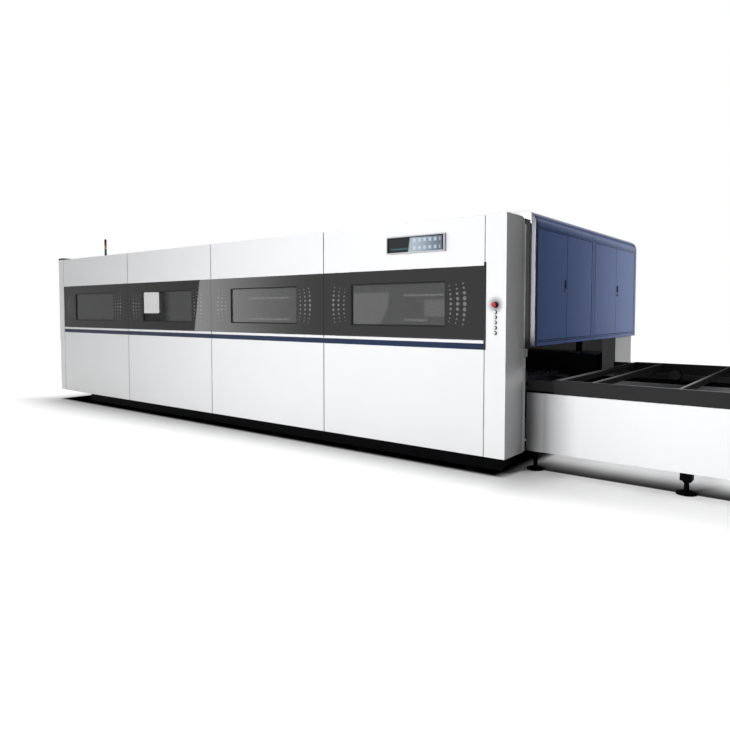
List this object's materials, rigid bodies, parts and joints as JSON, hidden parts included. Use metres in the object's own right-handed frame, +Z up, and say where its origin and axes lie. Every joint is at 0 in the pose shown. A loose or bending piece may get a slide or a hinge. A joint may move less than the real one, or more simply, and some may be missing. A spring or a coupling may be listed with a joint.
{
  "type": "enclosed fibre laser sheet cutting machine with exchange table",
  "caption": "Long enclosed laser sheet cutter with a dark window band, a blue service cabinet over the pallet exit and a two-level shuttle table on levelling feet.",
  "frame": {"origin": "middle of the footprint at floor level", "axes": "+X along the machine towards the exchange table, +Y from the operator's front to the rear, +Z up"},
  "size_m": [12.13, 3.528, 2.386],
  "materials": {
    "white_paint": "satin powder coat",
    "pale_grey_paint": "satin powder coat",
    "dark_grey_paint": "satin powder coat",
    "blue_paint": "semi-gloss paint",
    "navy_stripe": "gloss paint",
    "black_paint": "satin paint",
    "gloss_band": "polished dark panel",
    "tinted_glass": "laser-safe tinted pane",
    "bright_steel": "ground steel",
    "silver_frame": "anodised",
    "screen_glass": "dark polished screen",
    "chrome_bezel": "polished",
    "red_plastic": "gloss",
    "white_plastic": "gloss",
    "black_plastic": "matt moulded",
    "lens_red": "translucent lens",
    "lens_amber": "translucent lens",
    "lens_green": "translucent lens"
  },
  "bodies": {
    "machine": {"base_beams": "black_paint", "floor_pan": "bright_steel", "foot_pads": "black_paint", "foot_stems": "black_paint", "frame_posts": "black_paint", "front_lower_panels": "white_paint", "front_upper_panels": "white_paint", "window_bands": "gloss_band", "window_panes": "tinted_glass", "accent_stripe": "navy_stripe", "left_corner_post": "white_paint", "control_column": "white_paint", "portal_post": "dark_grey_paint", "light_curtain": "pale_grey_paint", "rear_column": "pale_grey_paint", "rear_panels": "white_paint", "roof_panels": "white_paint", "left_end_wall": "white_paint", "roof_end_cap": "black_plastic", "cabinet_roof": "blue_paint", "cabinet_cheek": "white_paint", "cabinet_carcass": "blue_paint", "laser_source": "pale_grey_paint", "drive_rack": "dark_grey_paint", "display_housing": "silver_frame", "display_screen": "screen_glass", "control_bezels": "chrome_bezel", "tower_housing": "black_plastic", "tower_lens_green": "lens_green", "tower_lens_amber": "lens_amber", "tower_lens_red": "lens_red", "bed_sides": "black_paint", "x_guides": "bright_steel", "table_panels": "white_paint", "table_tracks": "black_paint", "table_beams": "black_paint", "table_drive": "dark_grey_paint"},
    "gantry": {"gantry_beam": "pale_grey_paint", "gantry_trucks": "black_paint"},
    "carriage": {"carriage": "dark_grey_paint"},
    "head": {"cutting_head": "bright_steel"},
    "outer_pallet": {"outer_pallet_frame": "dark_grey_paint"},
    "outer_wheels_front": {"outer_wheels_front": "black_plastic"},
    "outer_wheels_rear": {"outer_wheels_rear": "black_plastic"},
    "inner_pallet": {"inner_pallet_frame": "dark_grey_paint", "inner_pallet_slats": "bright_steel"},
    "inner_wheels_front": {"inner_wheels_front": "black_plastic"},
    "inner_wheels_rear": {"inner_wheels_rear": "black_plastic"},
    "estop": {"estop_button": "red_plastic"},
    "door_1": {"cabinet_door_1": "blue_paint"},
    "door_2": {"cabinet_door_2": "blue_paint"},
    "door_3": {"cabinet_door_3": "blue_paint"},
    "door_4": {"cabinet_door_4": "blue_paint"},
    "lever_1": {"door_lever_1": "black_plastic"},
    "lever_2": {"door_lever_2": "black_plastic"},
    "button_1": {"push_button_1": "white_plastic"},
    "button_2": {"push_button_2": "white_plastic"},
    "button_3": {"push_button_3": "white_plastic"},
    "button_4": {"push_button_4": "white_plastic"},
    "button_5": {"push_button_5": "white_plastic"}
  },
  "joints": [
    {"name": "gantry_travel", "type": "slide", "parent": "machine", "child": "gantry", "axis": [1, 0, 0], "range_m": [0, 5.2]},
    {"name": "carriage_travel", "type": "slide", "parent": "gantry", "child": "carriage", "axis": [0, 1, 0], "range_m": [-1, 1]},
    {"name": "head_lift", "type": "slide", "parent": "carriage", "child": "head", "axis": [0, 0, 1], "range_m": [0, 0.15]},
    {"name": "outer_pallet_travel", "type": "slide", "parent": "machine", "child": "outer_pallet", "axis": [1, 0, 0], "range_m": [-5, 0]},
    {"name": "inner_pallet_travel", "type": "slide", "parent": "machine", "child": "inner_pallet", "axis": [1, 0, 0], "range_m": [0, 5]},
    {"name": "outer_wheels_front_spin", "type": "hinge", "parent": "outer_pallet", "child": "outer_wheels_front", "pos_m": [1.955, -0.1665, 0.6524], "axis": [0, 1, 0], "range_deg": [-5220, 0]},
    {"name": "outer_wheels_rear_spin", "type": "hinge", "parent": "outer_pallet", "child": "outer_wheels_rear", "pos_m": [5.415, -0.1665, 0.6524], "axis": [0, 1, 0], "range_deg": [-5220, 0]},
    {"name": "inner_wheels_front_spin", "type": "hinge", "parent": "inner_pallet", "child": "inner_wheels_front", "pos_m": [-3.045, -0.1665, 0.4854], "axis": [0, 1, 0], "range_deg": [0, 6380]},
    {"name": "inner_wheels_rear_spin", "type": "hinge", "parent": "inner_pallet", "child": "inner_wheels_rear", "pos_m": [0.415, -0.1665, 0.4854], "axis": [0, 1, 0], "range_deg": [0, 6380]},
    {"name": "door_1_swing", "type": "hinge", "parent": "machine", "child": "door_1", "pos_m": [1.318, -1.227, 1.557], "axis": [0, 0, 1], "range_deg": [-110, 0]},
    {"name": "door_2_swing", "type": "hinge", "parent": "machine", "child": "door_2", "pos_m": [1.318, 0.129, 1.557], "axis": [0, 0, 1], "range_deg": [0, 90]},
    {"name": "door_3_swing", "type": "hinge", "parent": "machine", "child": "door_3", "pos_m": [1.318, 0.249, 1.557], "axis": [0, 0, 1], "range_deg": [-90, 0]},
    {"name": "door_4_swing", "type": "hinge", "parent": "machine", "child": "door_4", "pos_m": [1.318, 1.655, 1.557], "axis": [0, 0, 1], "range_deg": [0, 110]},
    {"name": "lever_1_turn", "type": "hinge", "parent": "door_1", "child": "lever_1", "pos_m": [1.328, -0.5965, 1.549], "axis": [1, 0, 0], "range_deg": [0, 90]},
    {"name": "lever_2_turn", "type": "hinge", "parent": "door_4", "child": "lever_2", "pos_m": [1.328, 0.9995, 1.549], "axis": [1, 0, 0], "range_deg": [-90, 0]},
    {"name": "estop_press", "type": "slide", "parent": "machine", "child": "estop", "axis": [0, 1, 0], "range_m": [0, 0.005], "stiffness_N_per_m": 900},
    {"name": "button_1_press", "type": "slide", "parent": "machine", "child": "button_1", "axis": [0, 1, 0], "range_m": [0, 0.003], "stiffness_N_per_m": 500},
    {"name": "button_2_press", "type": "slide", "parent": "machine", "child": "button_2", "axis": [0, 1, 0], "range_m": [0, 0.003], "stiffness_N_per_m": 500},
    {"name": "button_3_press", "type": "slide", "parent": "machine", "child": "button_3", "axis": [0, 1, 0], "range_m": [0, 0.003], "stiffness_N_per_m": 500},
    {"name": "button_4_press", "type": "slide", "parent": "machine", "child": "button_4", "axis": [0, 1, 0], "range_m": [0, 0.003], "stiffness_N_per_m": 500},
    {"name": "button_5_press", "type": "slide", "parent": "machine", "child": "button_5", "axis": [0, 1, 0], "range_m": [0, 0.003], "stiffness_N_per_m": 500}
  ],
  "couplings": [
    {"joint": "outer_wheels_front_spin", "follows": "outer_pallet_travel", "rad_per_m": 18.182},
    {"joint": "outer_wheels_rear_spin", "follows": "outer_pallet_travel", "rad_per_m": 18.182},
    {"joint": "inner_wheels_front_spin", "follows": "inner_pallet_travel", "rad_per_m": 22.222},
    {"joint": "inner_wheels_rear_spin", "follows": "inner_pallet_travel", "rad_per_m": 22.222}
  ]
}
